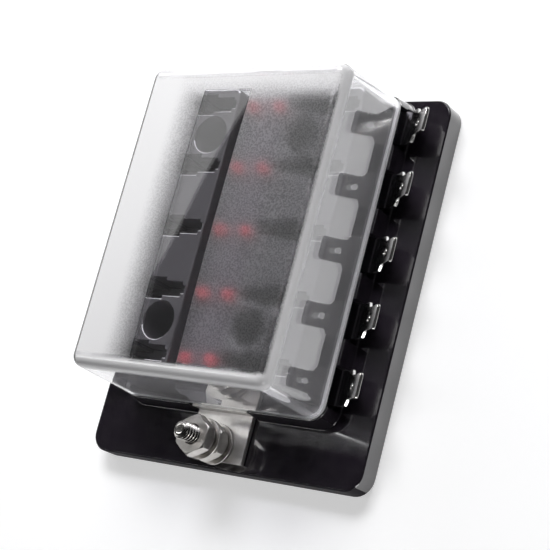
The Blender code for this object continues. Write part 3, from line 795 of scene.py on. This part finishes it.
refined("base_plate", base_finish, MAIN_BODY, BASE_BREAK, 2, dull_side(),
        lambda middle, normal: normal.y < -0.7)
# Fuse carriers: their upper edge faces turned towards +y take the pale painted highlight.
for node in ("fuse_block_left", "fuse_block_right"):
    top_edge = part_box(node)[1][2] - 0.0004
    refined(node, carrier_finish, MAIN_BODY, BLOCK_BREAK, 1, painted_edge_highlight,
            lambda middle, normal: middle.z > top_edge and abs(normal.z) < 0.98 and normal.y > 0.2)
refined("led_carrier", carrier_finish, MAIN_BODY, CARRIER_BREAK)
refined("bus_bar", nickel_sheet, MAIN_BODY)
for node in ("jam_nut", "top_nut", "lower_washer", "upper_washer"):
    refined(node, nickel, MAIN_BODY)
for node, gap_at in (("lower_lock_washer", -0.7), ("upper_lock_washer", 2.2)):
    washer_low, washer_high = corners(node)
    new_piece(f"{node}_split", split_ring(washer_low, washer_high, WASHER_HOLE, gap_at), nickel,
              MAIN_BODY, [node])
for side in "LR":
    for row in range(1, 6):
        refined(f"terminal_{side}{row}", tin, MAIN_BODY, TAB_BREAK,
                reshape=bend_tab)
        paint(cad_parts[f"led_{side}{row}"], lamp)
        paint(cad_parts[f"resistor_{side}{row}"], chip)
paint(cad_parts["led_board"], board_laminate())

stud_low, stud_high = corners("input_stud")
new_piece("threaded_stud", stud_mesh(stud_low, stud_high), bright_nickel, MAIN_BODY,
          ["input_stud"])

cover_low, cover_high = corners("cover")
new_piece("cover_shell", cover_mesh(cover_low, cover_high), clear_cover(cover_low, cover_high),
          COVER_BODY, ["cover"])


# Floor, light and camera

def panel(name, centre, towards, along, size, radiance):
    """Rectangular lamp: the first length lies along a direction, and it faces another."""
    lamp_data = bpy.data.lights.new(name, 'AREA')
    lamp_data.shape = 'RECTANGLE'
    lamp_data.size, lamp_data.size_y = size
    lamp_data.energy = radiance * math.pi * size[0] * size[1]
    made = bpy.data.objects.new(name, lamp_data)
    bpy.context.scene.collection.objects.link(made)
    back = -Vector(towards).normalized()
    right = (Vector(along) - back * back.dot(Vector(along))).normalized()
    turn = Matrix((right, back.cross(right), back)).transposed()
    made.matrix_world = Matrix.Translation(centre) @ turn.to_4x4()


def panel_at(name, target, direction, distance, along, size, radiance):
    """Rectangular lamp that faces a target from a direction and distance."""
    away = Vector(direction).normalized()
    panel(name, Vector(target) + away * distance, -away, along, size, radiance)


def build_floor():
    """Pale floor that fades to white and keeps the part's shadow."""
    bm = bmesh.new()
    bmesh.ops.create_grid(bm, x_segments=1, y_segments=1, size=3.0)
    floor = bpy.data.objects.new("floor", as_mesh(bm, "floor"))
    floor.location.z = -0.00005
    bpy.context.scene.collection.objects.link(floor)
    made = Shading("pale floor")
    made.set(Base_Color=made.mix(made.noise(0.05, 2.0), (0.69, 0.69, 0.70), (0.71, 0.71, 0.72)),
             Roughness=0.9)
    made.shader.inputs["Specular IOR Level"].default_value = 0.0
    path = made.node("ShaderNodeLightPath")
    seen = made.greatest(*(path.outputs[f"Is {kind} Ray"]
                           for kind in ("Camera", "Glossy", "Transmission")))
    made.shader.inputs["Emission Color"].default_value = (1.0, 1.0, 1.0, 1.0)
    made.link(made.product(seen, 0.50), made.shader.inputs["Emission Strength"])
    paint(floor, made.material)


def build_world():
    """Bright low surround under a dark ceiling."""
    world = bpy.data.worlds.new("studio")
    bpy.context.scene.world = world
    world.use_nodes = True
    tree = world.node_tree
    background = tree.nodes["Background"]
    place = tree.nodes.new("ShaderNodeTexCoord")
    split = tree.nodes.new("ShaderNodeSeparateXYZ")
    fade = tree.nodes.new("ShaderNodeMapRange")
    tree.links.new(place.outputs["Generated"], split.inputs[0])
    tree.links.new(split.outputs[2], fade.inputs["Value"])
    for name, number in (("From Min", 0.40), ("From Max", 0.62),
                         ("To Min", 1.0), ("To Max", 0.05)):
        fade.inputs[name].default_value = number
    tree.links.new(fade.outputs["Result"], background.inputs["Strength"])


def build_camera():
    """Camera at the photograph's place, rolled as the photograph is."""
    camera_data = bpy.data.cameras.new("camera")
    camera_data.lens = CAMERA_LENS
    camera_data.sensor_width = SENSOR_WIDTH
    camera_data.clip_start = 0.01
    camera = bpy.data.objects.new("camera", camera_data)
    bpy.context.scene.collection.objects.link(camera)
    back = -CAMERA_FORWARD.normalized()
    right = CAMERA_FORWARD.cross(-CAMERA_DOWN).normalized()
    up = back.cross(right)
    turn = Matrix((right, up, back)).transposed()
    camera.matrix_world = Matrix.Translation(CAMERA_PLACE) @ turn.to_4x4()
    bpy.context.scene.camera = camera


build_floor()
build_world()
build_camera()
panel("left_softbox", (-0.4017, 0.188, 0.308), (0.679, -0.267, -0.683), (-0.322, -0.946, 0.0),
      (0.23, 0.20), 1.3)
panel_at("main_softbox", (0.0, 0.0, 0.02), (-0.05, 0.70, 0.71), 0.85, (1.0, 0.0, 0.0),
         (0.50, 0.30), 13.8)
panel_at("stud_card", (0.0, -0.0454, 0.0075), (-0.64, -0.125, 0.757), 0.60, (0.0, 1.0, 0.0),
         (0.045, 0.26), 8.0)
panel_at("low_card", (0.04, 0.0, 0.012), (0.564, -0.818, 0.146), 0.40, (0.82, 0.57, 0.0),
         (0.12, 0.10), 7.0)
panel_at("edge_strip", (0.0, 0.01, 0.025), (-0.65, 0.57, 0.47), 0.60, (0.66, 0.75, 0.0),
         (0.22, 0.14), 5.0)
bpy.context.scene.view_settings.view_transform = 'Standard'
